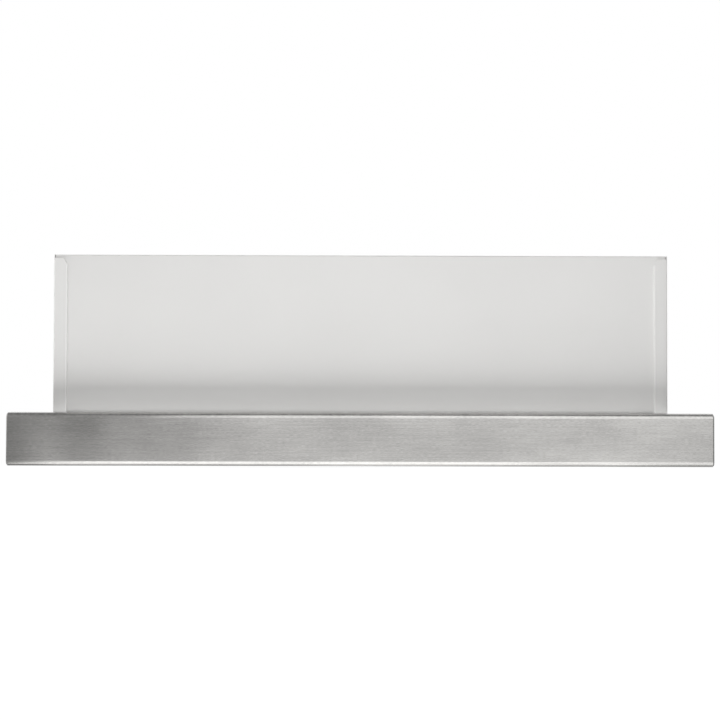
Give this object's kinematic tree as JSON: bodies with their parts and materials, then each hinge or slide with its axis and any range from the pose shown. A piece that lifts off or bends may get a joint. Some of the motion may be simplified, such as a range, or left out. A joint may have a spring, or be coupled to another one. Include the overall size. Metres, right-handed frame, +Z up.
{
  "type": "pull out range hood",
  "caption": "Telescopic cooker hood for a wall cabinet: sheet casing with fan and duct outlet, and a pull out visor behind a wide brushed steel front panel.",
  "frame": {"origin": "bottom centre of the closed hood's box, level with the lower edge of the front panel", "axes": "+X to the right seen from the front, +Y to the back, +Z up; the front panel faces -Y"},
  "size_m": [0.598, 0.3, 0.191],
  "materials": {
    "brushed_panel": "brushed along the width",
    "satin_casing": "satin light grey",
    "zinc_steel": "zinc plated",
    "aluminium": "satin",
    "black_plastic": "fine grained",
    "grey_plastic": "fine grained",
    "scroll_plastic": "moulded, semi-matt",
    "lens_plastic": "opal diffuser",
    "circuit_board": "solder mask"
  },
  "bodies": {
    "casing": {"casing_front": "satin_casing", "casing_top": "satin_casing", "casing_left": "satin_casing", "casing_right": "satin_casing", "casing_back": "satin_casing", "bottom_front_rail": "satin_casing", "bottom_rear_rail": "satin_casing", "filter_centre_bar": "satin_casing", "casing_screw_1": "zinc_steel", "casing_screw_2": "zinc_steel", "casing_screw_3": "zinc_steel", "casing_screw_4": "zinc_steel", "slide_bracket_left": "zinc_steel", "slide_bracket_right": "zinc_steel", "slide_outer_left": "zinc_steel", "slide_outer_right": "zinc_steel", "scroll_wall": "scroll_plastic", "scroll_side_left": "scroll_plastic", "scroll_side_right": "scroll_plastic", "outlet_throat": "black_plastic", "motor": "zinc_steel", "motor_bracket": "zinc_steel", "capacitor": "scroll_plastic", "junction_box": "black_plastic", "junction_lid": "black_plastic", "cable_gland": "grey_plastic", "microswitch": "black_plastic", "outlet_collar": "black_plastic", "flap_axle": "zinc_steel"},
    "visor": {"front_panel": "brushed_panel", "panel_back_plate": "zinc_steel", "visor_plate": "satin_casing", "visor_side_left": "satin_casing", "visor_side_right": "satin_casing", "visor_rear_rail": "satin_casing", "slide_inner_left": "zinc_steel", "slide_inner_right": "zinc_steel", "led_lens_left": "lens_plastic", "led_lens_right": "lens_plastic", "led_board_left": "aluminium", "led_board_right": "aluminium", "control_housing": "black_plastic", "control_board": "circuit_board"},
    "left_runner": {"runner_left": "zinc_steel"},
    "right_runner": {"runner_right": "zinc_steel"},
    "fan_wheel": {"impeller": "black_plastic", "fan_shaft": "zinc_steel"},
    "front_flap": {"flap_front": "black_plastic"},
    "rear_flap": {"flap_rear": "black_plastic"},
    "power_button": {"button_power": "black_plastic"},
    "lamp_button": {"button_lamp": "black_plastic"},
    "speed_1_button": {"button_speed_1": "black_plastic"},
    "speed_2_button": {"button_speed_2": "black_plastic"},
    "speed_3_button": {"button_speed_3": "black_plastic"},
    "left_filter": {"filter_frame_left": "aluminium", "filter_mesh_left": "aluminium"},
    "right_filter": {"filter_frame_right": "aluminium", "filter_mesh_right": "aluminium"},
    "left_latch": {"filter_latch_left": "grey_plastic"},
    "right_latch": {"filter_latch_right": "grey_plastic"}
  },
  "joints": [
    {"name": "visor_slide", "type": "slide", "parent": "casing", "child": "visor", "axis": [0, -1, 0], "range_m": [0, 0.165]},
    {"name": "left_runner_slide", "type": "slide", "parent": "casing", "child": "left_runner", "axis": [0, -1, 0], "range_m": [0, 0.0825]},
    {"name": "right_runner_slide", "type": "slide", "parent": "casing", "child": "right_runner", "axis": [0, -1, 0], "range_m": [0, 0.0825]},
    {"name": "fan_spin", "type": "hinge", "parent": "casing", "child": "fan_wheel", "pos_m": [0, 0.003, 0.111], "axis": [1, 0, 0], "continuous": true},
    {"name": "front_flap_swing", "type": "hinge", "parent": "casing", "child": "front_flap", "pos_m": [0, 0.045, 0.1844], "axis": [-1, 0, 0], "range_deg": [0, 80]},
    {"name": "rear_flap_swing", "type": "hinge", "parent": "casing", "child": "rear_flap", "pos_m": [0, 0.045, 0.1844], "axis": [1, 0, 0], "range_deg": [0, 80]},
    {"name": "power_press", "type": "slide", "parent": "visor", "child": "power_button", "axis": [0, 0, 1], "range_m": [0, 0.002], "stiffness_N_per_m": 400},
    {"name": "lamp_press", "type": "slide", "parent": "visor", "child": "lamp_button", "axis": [0, 0, 1], "range_m": [0, 0.002], "stiffness_N_per_m": 400},
    {"name": "speed_1_press", "type": "slide", "parent": "visor", "child": "speed_1_button", "axis": [0, 0, 1], "range_m": [0, 0.002], "stiffness_N_per_m": 400},
    {"name": "speed_2_press", "type": "slide", "parent": "visor", "child": "speed_2_button", "axis": [0, 0, 1], "range_m": [0, 0.002], "stiffness_N_per_m": 400},
    {"name": "speed_3_press", "type": "slide", "parent": "visor", "child": "speed_3_button", "axis": [0, 0, 1], "range_m": [0, 0.002], "stiffness_N_per_m": 400},
    {"name": "left_filter_drop", "type": "hinge", "parent": "casing", "child": "left_filter", "pos_m": [-0.127, 0.128, 0.009], "axis": [1, 0, 0], "range_deg": [0, 60]},
    {"name": "right_filter_drop", "type": "hinge", "parent": "casing", "child": "right_filter", "pos_m": [0.127, 0.128, 0.009], "axis": [1, 0, 0], "range_deg": [0, 60]},
    {"name": "left_latch_slide", "type": "slide", "parent": "left_filter", "child": "left_latch", "axis": [0, 1, 0], "range_m": [0, 0.006], "stiffness_N_per_m": 300},
    {"name": "right_latch_slide", "type": "slide", "parent": "right_filter", "child": "right_latch", "axis": [0, 1, 0], "range_m": [0, 0.006], "stiffness_N_per_m": 300}
  ],
  "couplings": [
    {"joint": "left_runner_slide", "follows": "visor_slide", "ratio": 0.5},
    {"joint": "right_runner_slide", "follows": "visor_slide", "ratio": 0.5}
  ]
}
